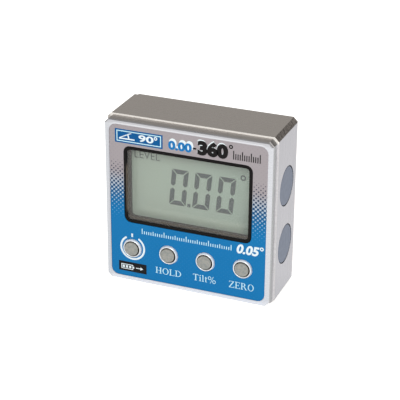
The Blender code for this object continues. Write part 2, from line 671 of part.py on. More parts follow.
def display_carrier():
    """Moulded frame that holds the cell behind the window, with a plate behind the key mat."""
    outline = box_outline(CARRIER_HALF, CARRIER_LOW, CARRIER_HIGH)
    carrier = prism("display_carrier", outline, CARRIER_FRONT, CARRIER_BACK)
    foot = POST_LOW + WEB_MARGIN + FIT_GAP
    plate_back = CARRIER_PLATE_FRONT + CARRIER_PLATE
    plate = box_outline(CARRIER_HALF, foot, CARRIER_LOW + OVERLAP)
    join(carrier, prism("plate", plate, CARRIER_PLATE_FRONT, plate_back))
    lugs = []
    for x, z in UPPER_BOARD_SCREWS:
        lugs.append(prism("lug", lug_outline(x, z, CARRIER_HIGH - OVERLAP), WEB_FRONT, LUG_BACK))
    for x, z in LOWER_BOARD_SCREWS:
        lug = (POST_DIAMETER, plate_back - OVERLAP, LUG_BACK, SMALL_STEPS)
        lugs.append(rod("lug", *lug, location=(x, 0, z)))
    join(carrier, *lugs)
    tunnel = window_outline(WINDOW_SEAL_WIDTH)
    cut(carrier, prism("tunnel", tunnel, CARRIER_FRONT - OVERLAP, CARRIER_BACK + OVERLAP))
    pocket = box_outline(CELL_HALF + FIT_GAP, CELL_LOW - FIT_GAP, CELL_HIGH + FIT_GAP)
    cut(carrier, prism("pocket", pocket, CELL_FRONT - CAP_GAP, CARRIER_BACK + OVERLAP))
    ends = (CARRIER_FRONT, LUG_BACK + OVERLAP)
    holes = [screw_hole(x, z, SMALL_SCREW_DIAMETER, *ends) for x, z in BOARD_SCREW_PLACES]
    opening = (NUB_DIAMETER + 2 * NUB_CLEARANCE, CARRIER_PLATE_FRONT - OVERLAP, plate_back + OVERLAP)
    holes += [rod("hole", *opening, SMALL_STEPS, location=(x, 0, KEY_HEIGHT)) for x in KEY_PLACES]
    cut(carrier, *holes)
    return dress(carrier, DARK_PLASTIC)


def main_board():
    """Circuit board with notched upper corners and a foot for the charging socket."""
    half = CAVITY_HALF - BOARD_GAP
    top = CAVITY_TOP - BOARD_GAP
    notch_x = POST_HALF - WEB_MARGIN - BOARD_NOTCH
    notch_z = POST_HIGH - WEB_MARGIN - CAP_GAP
    foot_right = -KEY_GAP_HALF - WEB_MARGIN - FIT_GAP
    foot_bottom = CAVITY_BOTTOM + BOARD_GAP
    bottom = POST_LOW + WEB_MARGIN + CAP_GAP
    outline = [
        (-half, foot_bottom + CAVITY_RADIUS), (CAVITY_RADIUS - half, foot_bottom),
        (foot_right, foot_bottom), (foot_right, bottom), (half, bottom),
        (half, notch_z), (notch_x, notch_z), (notch_x, top), (-notch_x, top), (-notch_x, notch_z),
        (-half, notch_z),
    ]
    board = prism("main_board", outline, BOARD_FRONT, BOARD_BACK)
    ends = (BOARD_FRONT - OVERLAP, BOARD_BACK + OVERLAP)
    cut(board, *[screw_hole(x, z, SMALL_SCREW_DIAMETER, *ends) for x, z in BOARD_SCREW_PLACES])
    return dress(board, BOARD_GREEN)


def keys():
    """Turned caps with a crowned face and a flange that keeps them in the bezel."""
    radius = CAP_DIAMETER / 2
    flange_front = POCKET_FLOOR + FIT_GAP - RIM_FRONT
    flange_back = MAT_FRONT - KEY_STOP_GAP - KEY_TRAVEL - RIM_FRONT
    face = [(radius - CAP_EDGE) * share for share in (0.0, 0.5, 1.0)]
    profile = [(reach, -CAP_PROUD + CAP_CROWN * (reach / radius) ** 2) for reach in face]
    shoulder = profile[-1][1]
    for angle in (math.radians(45), math.radians(90)):
        out = radius - CAP_EDGE + CAP_EDGE * math.sin(angle)
        profile.append((out, shoulder + CAP_EDGE * (1 - math.cos(angle))))
    profile += [
        (radius, flange_front), (radius + CAP_FLANGE, flange_front),
        (radius + CAP_FLANGE, flange_back), (0, flange_back),
    ]
    first = dress(turned("cap", profile), CAP_METAL, smooth=True)
    for key, x in zip(KEY_NAMES, KEY_PLACES):
        add_object("button_" + key, first.data, (x, RIM_FRONT, KEY_HEIGHT))
    bpy.data.objects.remove(first, do_unlink=True)


def key_mat():
    """Silicone strip behind the caps, with a nub over each switch."""
    half = -KEY_FIRST + MAT_MARGIN
    outline = rounded_outline(half, KEY_HEIGHT - MAT_MARGIN, KEY_HEIGHT + MAT_MARGIN, CAVITY_RADIUS)
    mat = prism("key_mat", outline, MAT_FRONT, MAT_BACK)
    nub = (NUB_DIAMETER, MAT_BACK - MAT_THICKNESS / 2, SWITCH_TOP - NUB_GAP, SMALL_STEPS)
    join(mat, *[rod("nub", *nub, location=(x, 0, KEY_HEIGHT)) for x in KEY_PLACES])
    return dress(mat, SILICONE)


def switches():
    """Tact switches: a square case with a round plunger."""
    half = SWITCH_SIZE / 2
    case = prism("switch", chamfered_outline(half, -half, half, SWITCH_CORNER), -SWITCH_HEIGHT, 0)
    top = -SWITCH_HEIGHT - PLUNGER_HEIGHT
    join(case, rod("plunger", PLUNGER_DIAMETER, top, -SWITCH_HEIGHT / 2, SMALL_STEPS))
    dress(case, CHIP_BLACK)
    for key, x in zip(KEY_NAMES, KEY_PLACES):
        add_object("switch_" + key, case.data, (x, BOARD_FRONT - SOLDER_GAP, KEY_HEIGHT))
    bpy.data.objects.remove(case, do_unlink=True)


def socket_outline(distance):
    """Outline of the charging socket: two corners on the board side are cut off."""
    half = SOCKET_THICKNESS / 2 - distance
    reach = SOCKET_WIDTH / 2 - distance
    return [
        (half - SOCKET_CORNER, -reach), (half, SOCKET_CORNER - reach),
        (half, reach - SOCKET_CORNER), (half - SOCKET_CORNER, reach),
        (SOCKET_CHAMFER - half, reach), (-half, reach - SOCKET_CHAMFER),
        (-half, SOCKET_CHAMFER - reach), (SOCKET_CHAMFER - half, -reach),
    ]


def usb_socket():
    """Folded metal shell, open at the left, with a tongue inside."""
    place = {"location": (SOCKET_SET_BACK - BODY_WIDTH / 2, SOCKET_Y, SOCKET_HEIGHT), "rotation": LEFT}
    socket = prism("usb_socket", socket_outline(0), 0, SOCKET_LENGTH, **place)
    floor = SOCKET_LENGTH - SOCKET_BACK
    cut(socket, prism("mouth", socket_outline(SOCKET_SHELL), -OVERLAP, floor, **place))
    tongue = [
        (-TONGUE_THICKNESS / 2, -TONGUE_WIDTH / 2), (TONGUE_THICKNESS / 2, -TONGUE_WIDTH / 2),
        (TONGUE_THICKNESS / 2, TONGUE_WIDTH / 2), (-TONGUE_THICKNESS / 2, TONGUE_WIDTH / 2),
    ]
    join(socket, prism("tongue", tongue, TONGUE_SET_BACK, floor + OVERLAP, **place))
    return dress(socket, STEEL)


def cross_cut(name, screw, head_diameter, top):
    reach = RECESS_SHARE * head_diameter / 2
    return cut(screw, prism(name, cross_outline(reach, RECESS_WIDTH), top - RECESS_DEPTH, top + OVERLAP))


def cover_screws():
    """Countersunk screws, heads level with the cover; the threads are left plain."""
    shank = COVER_SCREW_DIAMETER / 2
    head = COVER_HEAD_DIAMETER / 2
    cone = COVER_HEAD_RIM + head - shank
    profile = [
        (0, -COVER_SCREW_LENGTH), (shank - EDGE_BREAK, -COVER_SCREW_LENGTH),
        (shank, EDGE_BREAK - COVER_SCREW_LENGTH), (shank, -cone),
        (head, -COVER_HEAD_RIM), (head, 0), (0, 0),
    ]
    first = turned("screw", profile, COVER_SCREW_STEPS)
    dress(cross_cut("cross", first, COVER_HEAD_DIAMETER, 0), STEEL, smooth=True)
    for number, (x, z) in enumerate(COVER_SCREW_PLACES, 1):
        add_object("cover_screw_%d" % number, first.data, (x, COVER_BACK - GLUE_GAP, z))
    bpy.data.objects.remove(first, do_unlink=True)


def pan_screws(name, places, seat):
    """Small pan-head screws: heads on a seat that faces the back, tips short of the holes' ends."""
    shank = SMALL_SCREW_DIAMETER / 2
    head = SMALL_HEAD_DIAMETER / 2
    length = seat + SOLDER_GAP - SCREW_HOLE_END - SCREW_TIP_GAP
    profile = [
        (0, -length), (shank - EDGE_BREAK, -length), (shank, EDGE_BREAK - length), (shank, 0), (head, 0),
        (head, SMALL_HEAD_HEIGHT / 2), (head - SMALL_HEAD_TAPER, SMALL_HEAD_HEIGHT), (0, SMALL_HEAD_HEIGHT),
    ]
    first = turned("screw", profile, SMALL_STEPS)
    dress(cross_cut("cross", first, SMALL_HEAD_DIAMETER, SMALL_HEAD_HEIGHT), STEEL, smooth=True)
    for number, (x, z) in enumerate(places, 1):
        add_object("%s_%d" % (name, number), first.data, (x, seat + SOLDER_GAP, z))
    bpy.data.objects.remove(first, do_unlink=True)


def back_cover():
    """Stepped back plate with a lip that locates it, and four countersunk holes."""
    cover = prism("back_cover", plate_outline(), BODY_BACK, COVER_BACK, 0.0, COVER_EDGE)
    join(cover, prism("lip", spigot_outline(), BODY_BACK - SPIGOT_LENGTH, BODY_BACK + OVERLAP))
    inner = rounded_outline(INNER_HALF, INNER_BOTTOM, INNER_TOP, CAVITY_RADIUS - SPIGOT_WALL)
    cut(cover, prism("relief", inner, BODY_BACK - SPIGOT_LENGTH - OVERLAP, COVER_INSIDE))
    shank = COVER_SCREW_DIAMETER / 2 + THREAD_GAP
    head = COVER_HEAD_DIAMETER / 2 + THREAD_GAP
    face = COVER_BACK - GLUE_GAP
    profile = [
        (0, BODY_BACK - OVERLAP), (shank, BODY_BACK - OVERLAP),
        (shank, face - COVER_HEAD_RIM - head + shank), (head, face - COVER_HEAD_RIM),
        (head, COVER_BACK + OVERLAP), (0, COVER_BACK + OVERLAP),
    ]
    holes = [turned("hole", profile, COVER_SCREW_STEPS, location=(x, 0, z)) for x, z in COVER_SCREW_PLACES]
    cut(cover, *holes)
    cut(cover, seal_groove(BODY_BACK, 1))
    return dress(cover, ALUMINIUM, smooth=True)


def board_parts():
    """Processor and tilt sensor soldered to the back of the board, and the battery's header."""
    middle = (WINDOW_BOTTOM + WINDOW_HIGH) / 2
    front = BOARD_BACK + SOLDER_GAP
    half = CHIP_SIZE / 2
    outline = chamfered_outline(half, -half, half, CHIP_CORNER)
    place = {"back_edge": EDGE_BREAK, "location": (-CHIP_OFFSET, 0, middle)}
    dress(prism("processor", outline, front, front + CHIP_HEIGHT, **place), CHIP_BLACK)
    half = SENSOR_SIZE / 2
    outline = chamfered_outline(half, -half, half, CHIP_CORNER)
    place = {"back_edge": EDGE_BREAK, "location": (CHIP_OFFSET, 0, middle)}
    dress(prism("tilt_sensor", outline, front, front + SENSOR_HEIGHT, **place), STEEL)
    height = battery_bottom() - PLUG_DROP
    outline = box_outline(PLUG_WIDTH / 2, height - PLUG_HEIGHT / 2, height + PLUG_HEIGHT / 2)
    dress(prism("battery_header", outline, front, front + PLUG_DEPTH, back_edge=EDGE_BREAK), WHITE_PLASTIC)


def battery_bottom():
    return BODY_HEIGHT / 2 + BATTERY_RISE - BATTERY_HEIGHT / 2


def battery_parts():
    """Flat pouch cell stuck to the cover with a foam pad, and its two leads."""
    bottom = battery_bottom()
    top = bottom + BATTERY_HEIGHT
    front = BATTERY_BACK - BATTERY_THICKNESS
    outline = rounded_outline(BATTERY_WIDTH / 2, bottom, top, BATTERY_ROUND)
    pouch = prism("battery", outline, front, BATTERY_BACK, BATTERY_ROUND, BATTERY_ROUND, 2)
    dress(pouch, POUCH, smooth=True)
    pad_front = BATTERY_BACK + GLUE_GAP
    outline = box_outline(BATTERY_WIDTH / 2 - PAD_MARGIN, bottom + PAD_MARGIN, top - PAD_MARGIN)
    dress(prism("battery_pad", outline, pad_front, pad_front + PAD_THICKNESS), FOAM)
    start_y = (front + BATTERY_BACK) / 2
    header_back = BOARD_BACK + SOLDER_GAP + PLUG_DEPTH
    for pole, side, material in (("plus", 0.5, RED_WIRE), ("minus", -0.5, BLACK_WIRE)):
        start = (side * LEAD_PITCH, start_y, bottom - FIT_GAP)
        end = (side * LEAD_PITCH, header_back + FIT_GAP, bottom - PLUG_DROP)
        lead("battery_lead_" + pole, start, end, material)


def lead(name, start, end, material):
    """Wire that leaves the battery downwards and turns forwards into the header."""
    curve = bpy.data.curves.new(name, "CURVE")
    curve.dimensions = "3D"
    curve.bevel_depth = LEAD_DIAMETER / 2
    curve.bevel_resolution = 2
    curve.use_fill_caps = True
    spline = curve.splines.new("POLY")
    spline.points.add(LEAD_POINTS - 1)
    for index, point in enumerate(spline.points):
        angle = math.radians(90 * index / (LEAD_POINTS - 1))
        y = end[1] + (start[1] - end[1]) * math.cos(angle)
        z = start[2] - (start[2] - end[2]) * math.sin(angle)
        point.co = (start[0], y, z, 1.0)
    curve.materials.append(material)
    piece = bpy.data.objects.new(name, curve)
    bpy.context.scene.collection.objects.link(piece)
    return piece


clear_scene()
body_housing()
magnets()
front_bezel()
front_label()
window_parts()
display_cell()
display_carrier()
main_board()
keys()
key_mat()
switches()
usb_socket()
board_parts()
battery_parts()
seals()
back_cover()
cover_screws()
pan_screws("bezel_screw", BEZEL_SCREW_PLACES, WEB_BACK)
pan_screws("board_screw", BOARD_SCREW_PLACES, BOARD_BACK)
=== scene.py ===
"""Digital angle gauge: its finishes, print, display and studio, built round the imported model."""

import math

import bmesh
import bpy
from mathutils import Color, Matrix, Vector


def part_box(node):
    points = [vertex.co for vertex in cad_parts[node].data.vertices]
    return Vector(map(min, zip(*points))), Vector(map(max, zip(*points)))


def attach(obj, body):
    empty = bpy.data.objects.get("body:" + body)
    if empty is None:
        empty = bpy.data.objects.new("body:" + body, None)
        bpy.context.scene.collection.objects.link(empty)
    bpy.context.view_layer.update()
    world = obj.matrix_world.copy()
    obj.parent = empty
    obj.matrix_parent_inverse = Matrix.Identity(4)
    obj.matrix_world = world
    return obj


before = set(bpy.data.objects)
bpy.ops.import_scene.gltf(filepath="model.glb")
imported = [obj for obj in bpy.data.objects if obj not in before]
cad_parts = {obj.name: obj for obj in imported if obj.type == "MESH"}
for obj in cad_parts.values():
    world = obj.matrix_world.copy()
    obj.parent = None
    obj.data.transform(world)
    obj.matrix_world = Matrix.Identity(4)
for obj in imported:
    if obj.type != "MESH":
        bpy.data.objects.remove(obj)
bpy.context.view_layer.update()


# Camera: it stands to the right of the gauge and looks down on it.
# The viewing angle and the lens are those of the photograph.
MM = 0.001
VIEW_AZIMUTH = math.radians(21.61)
VIEW_ELEVATION = math.radians(24.80)
VIEW_ROLL = math.radians(0.42)
VIEW_DISTANCE = 467.88 * MM
VIEW_TARGET = Vector((0.19, -0.79, 29.96)) * MM
VIEW_LENS = 124.96
NEAREST_SEEN = 10 * MM

camera = bpy.data.objects.new("camera", bpy.data.cameras.new("camera"))
bpy.context.scene.collection.objects.link(camera)
bpy.context.scene.camera = camera
camera.data.lens = VIEW_LENS
camera.data.clip_start = NEAREST_SEEN
to_camera = Vector((
    math.sin(VIEW_AZIMUTH) * math.cos(VIEW_ELEVATION),
    -math.cos(VIEW_AZIMUTH) * math.cos(VIEW_ELEVATION),
    math.sin(VIEW_ELEVATION),
))
to_right = Vector((0, 0, 1)).cross(to_camera).normalized()
turn = Matrix((to_right, to_camera.cross(to_right), to_camera)).transposed()
turn = turn @ Matrix.Rotation(VIEW_ROLL, 3, "Z")
camera.matrix_world = Matrix.Translation(VIEW_TARGET + to_camera * VIEW_DISTANCE) @ turn.to_4x4()


# Housing and back cover: milled from aluminium, ground along the width and left bare.
# The corners are cut at 45 degrees by a coarser tool, which leaves a fine hatch, painted dark as a
# reflection.
# A narrow ledge in front, where the bezel stands on the housing, carries a painted highlight.
CORNER_CUT = 1.5 * MM
FACE_GRAIN = (60, 1800, 1800)
FLANK_GRAIN = (1800, 1800, 60)
CUT_GRAIN = (900, 3000, 900)
CLOUD_SCALE = 110.0
LEDGE_DEPTH = 0.12 * MM

# Mix has sockets for every kind of data: these are the share and the two colours, and their result.
MIX_INPUTS = (0, 6, 7)
MIX_RESULT = 2


def colour(red, green, blue):
    """Colour of 0 to 255 as it is seen, as the linear colour that a shader takes."""
    seen = Color((red / 255, green / 255, blue / 255))
    return (*seen.from_srgb_to_scene_linear(), 1.0)


def add_node(tree, kind, sockets=None, **settings):
    """Shader node with its settings; a socket takes a value or another node's output."""
    node = tree.nodes.new("ShaderNode" + kind)
    for name, value in settings.items():
        setattr(node, name, value)
    for name, value in (sockets or {}).items():
        if isinstance(value, bpy.types.NodeSocket):
            tree.links.new(value, node.inputs[name])
        else:
            node.inputs[name].default_value = value
    return node


def maths(tree, operation, *values):
    """One sum on values or on other nodes' outputs."""
    node = add_node(tree, "Math", dict(enumerate(values)), operation=operation)
    return node.outputs[0]


def between(tree, value, start, end):
    """0 before start, 1 past end, and a soft step from one to the other."""
    sockets = {"Value": value, "From Min": start, "From Max": end}
    return add_node(tree, "MapRange", sockets, interpolation_type="SMOOTHSTEP").outputs["Result"]


def on_face(tree, reach, limit):
    """1 on the outermost face, at the limit, and 0 behind it."""
    return between(tree, reach, limit - 0.03 * MM, limit - 0.005 * MM)


def mixed(tree, share, first, second, blend="MIX"):
    """Colour that goes from the first to the second with the share, or that joins them as blend says."""
    sockets = dict(zip(MIX_INPUTS, (share, first, second)))
    return add_node(tree, "Mix", sockets, data_type="RGBA", blend_type=blend).outputs[MIX_RESULT]


def object_axes(tree, names="XYZ"):
    """The named axes of the object's own coordinates, in metres."""
    place = add_node(tree, "TexCoord").outputs["Object"]
    axes = add_node(tree, "SeparateXYZ", {"Vector": place}).outputs
    return [axes[name] for name in names]


def speckle(tree, scale, stretch=(1, 1, 1), detail=2.0):
    """Noise on the object's own coordinates; stretch multiplies the scale along X, Y and Z."""
    place = add_node(tree, "TexCoord").outputs["Object"]
    mapped = add_node(tree, "Mapping", {"Vector": place, "Scale": stretch}).outputs["Vector"]
    noise = add_node(tree, "TexNoise", {"Vector": mapped, "Scale": scale, "Detail": detail})
    return noise.outputs["Fac"]


def new_material(name, base, roughness, metallic=0.0, **sockets):
    """Principled material; sockets are given by their names with _ for a space."""
    material = bpy.data.materials.new(name)
    material.use_nodes = True
    tree = material.node_tree
    shader = tree.nodes["Principled BSDF"]
    shader.inputs["Base Color"].default_value = base
    shader.inputs["Roughness"].default_value = roughness
    shader.inputs["Metallic"].default_value = metallic
    for socket, value in sockets.items():
        shader.inputs[socket.replace("_", " ")].default_value = value
    return material, tree, shader


def link(tree, output, shader, socket):
    """Let an output drive one socket of the shader."""
    tree.links.new(output, shader.inputs[socket])


def paint(tree, shader, share, first, second):
    """Base colour that goes from the first to the second with the share."""
    link(tree, mixed(tree, share, first, second), shader, "Base Color")


def raise_by(tree, shader, height, strength):
    """Fine relief, a hundredth of a millimetre high at full strength."""
    bump = add_node(tree, "Bump", {"Height": height, "Strength": strength, "Distance": 0.01 * MM})
    link(tree, bump.outputs["Normal"], shader, "Normal")


def dress(material, *nodes):
    """Put a material on every slot of the named CAD nodes."""
    for name in nodes:
        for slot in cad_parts[name].material_slots:
            slot.material = material


def ground(name, node, face, flanks):
    """Bare ground aluminium, with painted shade on its flanks and a hatch painted dark as a reflection
    where the corners are cut.

    face and flanks are each a light and a dark colour. The object's axes and the colour so far are
    handed back too, for what the caller adds.
    """
    low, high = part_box(node)
    material, tree, shader = new_material(name, face[0], 0.3, 1.0)
    across, inward, up = object_axes(tree)
    side = maths(tree, "ABSOLUTE", across)
    rise = maths(tree, "ABSOLUTE", maths(tree, "SUBTRACT", up, (low.z + high.z) / 2))
    cut = high.x + (high.z - low.z) / 2 - CORNER_CUT
    corner = between(tree, maths(tree, "ADD", side, rise), cut - 0.1 * MM, cut - 0.02 * MM)
    flank = on_face(tree, side, high.x)
    face_lines = speckle(tree, 1.0, FACE_GRAIN, 3.0)
    flank_lines = speckle(tree, 1.0, FLANK_GRAIN, 3.0)
    lines = mixed(tree, flank, face_lines, flank_lines)
    clouds = maths(tree, "MULTIPLY", speckle(tree, CLOUD_SCALE), 0.3)
    wear = maths(tree, "MULTIPLY_ADD", lines, 0.6, clouds)
    # The flanks get the darker pair of colours: painted shade.
    tone = mixed(tree, flank, mixed(tree, wear, *face), mixed(tree, wear, *flanks))
    # The hatch is real; its dark colours are a painted dark reflection.
    hatch = between(tree, speckle(tree, 1.0, CUT_GRAIN), 0.4, 0.62)
    hatch_and_painted_reflection = mixed(tree, hatch, colour(96, 92, 90), colour(160, 154, 150))
    tone = mixed(tree, corner, tone, hatch_and_painted_reflection)
    link(tree, maths(tree, "MULTIPLY_ADD", lines, 0.12, 0.22), shader, "Roughness")
    raise_by(tree, shader, lines, 0.12)
    return material, tree, shader, (across, inward, up), tone


def lighten(tree, shader, share, under, over, metallic):
    """Lighter and less mirror-like colour on a share of a ground piece: the ledge's painted highlight
    and the pale collars.
    """
    paint(tree, shader, share, under, over)
    mirror = add_node(tree, "MapRange", {"Value": share, "To Min": 1.0, "To Max": metallic})
    link(tree, mirror.outputs["Result"], shader, "Metallic")


milled, tree, shader, (across, inward, up), tone = ground(
    "milled_aluminium",
    "body_housing",
    face=(colour(200, 196, 193), colour(186, 181, 177)),
    flanks=(colour(149, 149, 155), colour(136, 136, 142)),
)
housing_low, housing_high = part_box("body_housing")
ledge = between(tree, inward, housing_low.y + LEDGE_DEPTH, housing_low.y + LEDGE_DEPTH / 3)
upper_part = between(tree, up, housing_high.z - 2.4 * MM, housing_high.z - 1.8 * MM)
right_of_corner = between(tree, across, housing_low.x + 0.8 * MM, housing_low.x + 1.3 * MM)
# Painted highlight on the ledge, brightest near the top and dimmer left of the corner cut.
painted_ledge_light = mixed(tree, upper_part, colour(214, 213, 216), colour(255, 252, 247))
painted_ledge_light = mixed(tree, right_of_corner, colour(180, 175, 170), painted_ledge_light)
lighten(tree, shader, ledge, tone, painted_ledge_light, 0.05)
dress(milled, "body_housing", "back_cover")


# Front bezel: a milled plate with a raised rim, polished bright, with a collar round each key.
# It is screwed to the housing from inside, on a seal.
LABEL_CORNER = 2.5 * MM
COLLAR_REACH = 3.7 * MM
COLLAR_BLUR = 0.2 * MM
FRONT_PAINTED_LIGHT = (0.83, 0.83, 0.83, 1)
FOOT_PAINTED_LIGHT = (1, 1, 1, 1)
LEFT_PAINTED_LIGHT = (0.78, 0.79, 0.79, 1)
LEFT_INSIDE_PAINTED_LIGHT = (0.66, 0.66, 0.68, 1)
TOP_PAINTED_LIGHT = (0.7, 0.69, 0.69, 1)
TOP_INSIDE_PAINTED_LIGHT = (0.93, 0.92, 0.91, 1)
KEYS = ("button_power", "button_hold", "button_tilt", "button_zero")


def distance(tree, aside, above):
    """Straight distance of a point that lies so far aside and so far above."""
    squares = [maths(tree, "MULTIPLY", part, part) for part in (aside, above)]
    return maths(tree, "SQRT", maths(tree, "ADD", *squares))


def past(tree, value, middle, reach):
    """How far a value lies past the reach on either side of the middle, or 0."""
    offset = maths(tree, "ABSOLUTE", maths(tree, "SUBTRACT", value, middle))
    return maths(tree, "MAXIMUM", maths(tree, "SUBTRACT", offset, reach), 0.0)


def nearest_key(tree, across, up, aside=0.0, above=0.0):
    """Distance to the nearest key's axis, or to a line that lies aside of it and above it."""
    nearest = None
    for name in KEYS:
        low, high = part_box(name)
        from_axis = maths(tree, "SUBTRACT", across, (low.x + high.x) / 2 + aside)
        over_axis = maths(tree, "SUBTRACT", up, (low.z + high.z) / 2 + above)
        away = distance(tree, from_axis, over_axis)
        nearest = away if nearest is None else maths(tree, "MINIMUM", nearest, away)
    return nearest


bright, tree, shader, (across, inward, up), tone = ground(
    "bright_aluminium",
    "front_bezel",
    face=(colour(205, 207, 212), colour(197, 199, 204)),
    flanks=(colour(150, 153, 155), colour(142, 145, 148)),
)
bezel_low, bezel_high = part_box("front_bezel")
label_low, label_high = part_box("front_label")
label_middle = (label_low + label_high) / 2
corner_middle = label_high - label_middle - Vector((LABEL_CORNER, 0, LABEL_CORNER))
past_side = past(tree, across, label_middle.x, corner_middle.x)
past_end = past(tree, up, label_middle.z, corner_middle.z)
beyond = distance(tree, past_side, past_end)
inside = between(tree, beyond, LABEL_CORNER + 0.75 * MM, LABEL_CORNER + 0.35 * MM)

# The front has painted light and shade: darker at the left and at the top, brightest at the foot, with
# another painted tone along the rim's inner edge at the left and top.
at_foot = between(tree, up, bezel_low.z + 2.4 * MM, bezel_low.z + 0.2 * MM)
at_left = between(tree, across, bezel_low.x + 2.2 * MM, bezel_low.x + 0.8 * MM)
at_top = between(tree, up, bezel_high.z - 2.0 * MM, bezel_high.z - 0.8 * MM)
painted_light = mixed(tree, at_foot, FRONT_PAINTED_LIGHT, FOOT_PAINTED_LIGHT)
painted_light = mixed(tree, at_left, painted_light, mixed(tree, inside, LEFT_PAINTED_LIGHT, LEFT_INSIDE_PAINTED_LIGHT))
painted_light = mixed(tree, at_top, painted_light, mixed(tree, inside, TOP_PAINTED_LIGHT, TOP_INSIDE_PAINTED_LIGHT))
tone = mixed(tree, 1.0, tone, painted_light, "MULTIPLY")

# The top edge, the rear of both sides and the upper corner cuts each get a painted reflection of another
# part of the room: light at the cut's front, dark behind the rim.
upper_edge = between(tree, up, bezel_high.z - 0.06 * MM, bezel_high.z - 0.02 * MM)
tone = mixed(tree, upper_edge, tone, colour(172, 168, 166))
side = maths(tree, "ABSOLUTE", across)
rear = between(tree, inward, bezel_low.y + 3.15 * MM, bezel_low.y + 3.55 * MM)
rear_side = maths(tree, "MULTIPLY", rear, on_face(tree, side, bezel_high.x))
tone = mixed(tree, rear_side, tone, colour(194, 194, 196))
cut = bezel_high.x + bezel_high.z - CORNER_CUT
upper_cut = between(tree, maths(tree, "ADD", side, up), cut - 0.1 * MM, cut)
behind_rim = between(tree, inward, bezel_low.y + 1.65 * MM, bezel_low.y + 2.05 * MM)
cut_painted_reflection = mixed(tree, behind_rim, colour(250, 250, 253), colour(128, 127, 127))
tone = mixed(tree, upper_cut, tone, cut_painted_reflection)

collar = between(tree, nearest_key(tree, across, up), COLLAR_REACH, COLLAR_REACH - COLLAR_BLUR)
lighten(tree, shader, collar, tone, colour(240, 243, 246), 0.2)
dress(bright, "front_bezel")


# Printed label: a matt foil stuck into the bezel's recess, silver at the top and blue at the bottom.
# The blue fades out upwards, on both sides of the window, in a screen of dots.
MATT = 0.12
SILVER = colour(170, 163, 167)
INK_BLUE = colour(0, 120, 184)
DOT_PITCH = 1.55 * MM
DOT_BLUR = 0.06
FADE_TOP = 45.4 * MM
FADE_BOTTOM = 23.4 * MM
FADE_POWER = 0.78

foil, tree, shader = new_material("label_foil", SILVER, 0.42, Specular_IOR_Level=MATT)
across, up = object_axes(tree, "XZ")
waves = []
for direction in ("ADD", "SUBTRACT"):
    slanted = maths(tree, direction, across, up)
    angle = maths(tree, "MULTIPLY", slanted, 2 * math.pi / DOT_PITCH)
    waves.append(maths(tree, "COSINE", angle))
screen = maths(tree, "MULTIPLY_ADD", maths(tree, "ADD", *waves), 0.25, 0.5)
fade = add_node(tree, "MapRange", {"Value": up, "From Min": FADE_TOP, "From Max": FADE_BOTTOM})
cover = maths(tree, "POWER", fade.outputs["Result"], FADE_POWER)
wet = maths(tree, "SUBTRACT", maths(tree, "ADD", screen, cover), 1.0)
dots = mixed(tree, between(tree, cover, 0.3, 0.95), colour(20, 32, 66), INK_BLUE)
bare = mixed(tree, between(tree, cover, 0.22, 0.6), SILVER, colour(184, 202, 218))
bare = mixed(tree, between(tree, cover, 0.5, 1.0), bare, colour(84, 160, 212))
printed = mixed(tree, between(tree, wet, -DOT_BLUR, DOT_BLUR), bare, dots)
grain = speckle(tree, 2500.0)
paint(tree, shader, maths(tree, "MULTIPLY", grain, 0.08), printed, colour(110, 120, 130))
raise_by(tree, shader, grain, 0.1)
dress(foil, "front_label")


# Marks on the label: printed on top of the foil in white, black and blue, 0.03 mm thick.
# Plain words name the keys, and plain scales fill the places of the other print.
# Their places are in millimetres: x from the gauge's middle, and z from its foot.
PRINT_THICKNESS = 0.03 * MM
LABEL_FRONT = label_low.y
LAYER = (LABEL_FRONT - PRINT_THICKNESS, LABEL_FRONT)
UPPER_LAYER = (LABEL_FRONT - 2 * PRINT_THICKNESS, LABEL_FRONT - PRINT_THICKNESS)
LONG_TICK, MIDDLE_TICK, SHORT_TICK = 1.95, 1.5, 1.1
CURVE_STEPS = 4
WELD_DISTANCE = 1e-7


def slab(form, outline, front, back):
    """Flat outline of (x, z) points in millimetres, made a thin plate between two depths."""
    face = form.faces.new([form.verts.new((x * MM, back, z * MM)) for x, z in outline])
    grown = bmesh.ops.extrude_face_region(form, geom=[face])
    moved = [item for item in grown["geom"] if isinstance(item, bmesh.types.BMVert)]
    bmesh.ops.translate(form, vec=(0, front - back, 0), verts=moved)


def box(left, foot, wide, high):
    """Outline of an upright rectangle."""
    return [(left, foot), (left + wide, foot), (left + wide, foot + high), (left, foot + high)]


def stripe(form, left, foot, wide, high, front, back):
    """Upright rectangle of ink."""
    slab(form, box(left, foot, wide, high), front, back)


def outlined_box(form, left, foot, wide, high, line, front, back):
    """Rectangle drawn by its four edges."""
    for z in (foot, foot + high - line):
        stripe(form, left, z, wide, line, front, back)
    for x in (left, left + wide - line):
        stripe(form, x, foot + line, line, high - 2 * line, front, back)


def tick_scale(form, left, foot, pitch, wide, heights, front, back):
    """Row of upright ticks, one for each height."""
    for count, high in enumerate(heights):
        stripe(form, left + count * pitch, foot, wide, high, front, back)


def arc_band(form, x, z, inner, outer, start, end, front, back, steps=48):
    """Part of a flat ring, from one angle to another."""
    angles = [math.radians(start + (end - start) * step / steps) for step in range(steps + 1)]
    points = [(x + outer * math.cos(angle), z + outer * math.sin(angle)) for angle in angles]
    points += [(x + inner * math.cos(angle), z + inner * math.sin(angle)) for angle in reversed(angles)]
    slab(form, points, front, back)


def ring(form, x, z, inner, outer, front, back):
    """Small full ring, such as a degree sign."""
    for start in (0, 180):
        arc_band(form, x, z, inner, outer, start, start + 180, front, back, steps=12)


